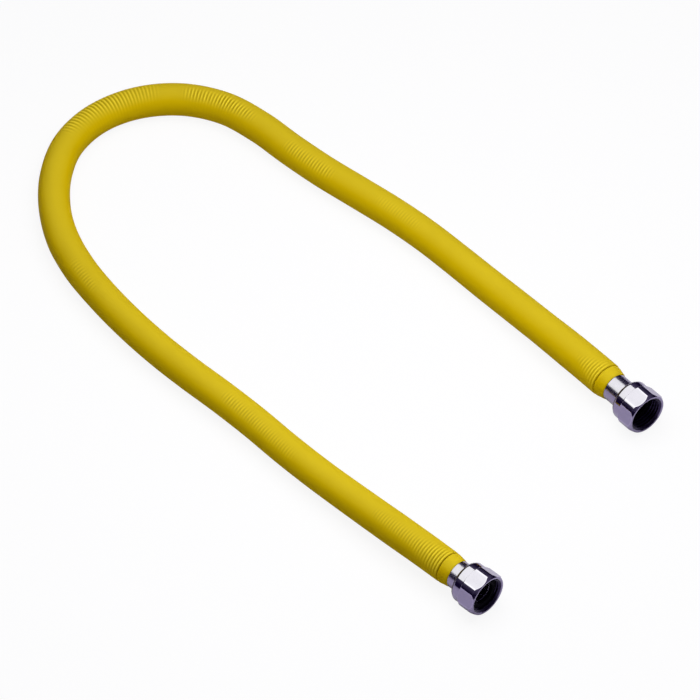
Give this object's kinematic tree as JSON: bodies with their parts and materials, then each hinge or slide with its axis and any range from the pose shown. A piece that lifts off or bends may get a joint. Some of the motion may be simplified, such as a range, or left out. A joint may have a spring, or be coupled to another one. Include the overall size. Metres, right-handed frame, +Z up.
{
  "type": "flexible gas hose",
  "caption": "Yellow sheathed corrugated steel gas hose lying bent in a U, with a swivelling, sliding female union nut at each end.",
  "frame": {"origin": "on the surface that the hose lies on, under the middle of the whole part's box", "axes": "+X along the two legs from the bend to the nuts, +Y from end a to end b, +Z up"},
  "size_m": [0.4323, 0.1893, 0.0257],
  "materials": {
    "yellow_plastic": "satin plastic with fine ribs",
    "chrome_plate": "polished chrome plate",
    "stainless_steel": "bright drawn stainless steel",
    "gasket_rubber": "matt black"
  },
  "bodies": {
    "hose": {"yellow_sheath": "yellow_plastic", "corrugated_tube": "stainless_steel", "end_sleeve_a": "yellow_plastic", "end_sleeve_b": "yellow_plastic", "tailpiece_a": "chrome_plate", "tailpiece_b": "chrome_plate", "sealing_gasket_a": "gasket_rubber", "sealing_gasket_b": "gasket_rubber"},
    "ring_a": {"retaining_ring_a": "stainless_steel"},
    "nut_a": {"union_nut_a": "chrome_plate"},
    "ring_b": {"retaining_ring_b": "stainless_steel"},
    "nut_b": {"union_nut_b": "chrome_plate"}
  },
  "joints": [
    {"name": "nut_a_slide", "type": "slide", "parent": "hose", "child": "ring_a", "axis": [0.9984, 0.0562, 0], "range_m": [-0.0046, 0.0046]},
    {"name": "nut_a_spin", "type": "hinge", "parent": "ring_a", "child": "nut_a", "pos_m": [0.20128, -0.07733, 0.0129], "axis": [0.9984, 0.0562, 0], "continuous": true},
    {"name": "nut_b_slide", "type": "slide", "parent": "hose", "child": "ring_b", "axis": [0.999, -0.0437, 0], "range_m": [-0.0092, 0]},
    {"name": "nut_b_spin", "type": "hinge", "parent": "ring_b", "child": "nut_b", "pos_m": [0.16208, 0.07972, 0.0129], "axis": [0.999, -0.0437, 0], "continuous": true}
  ]
}
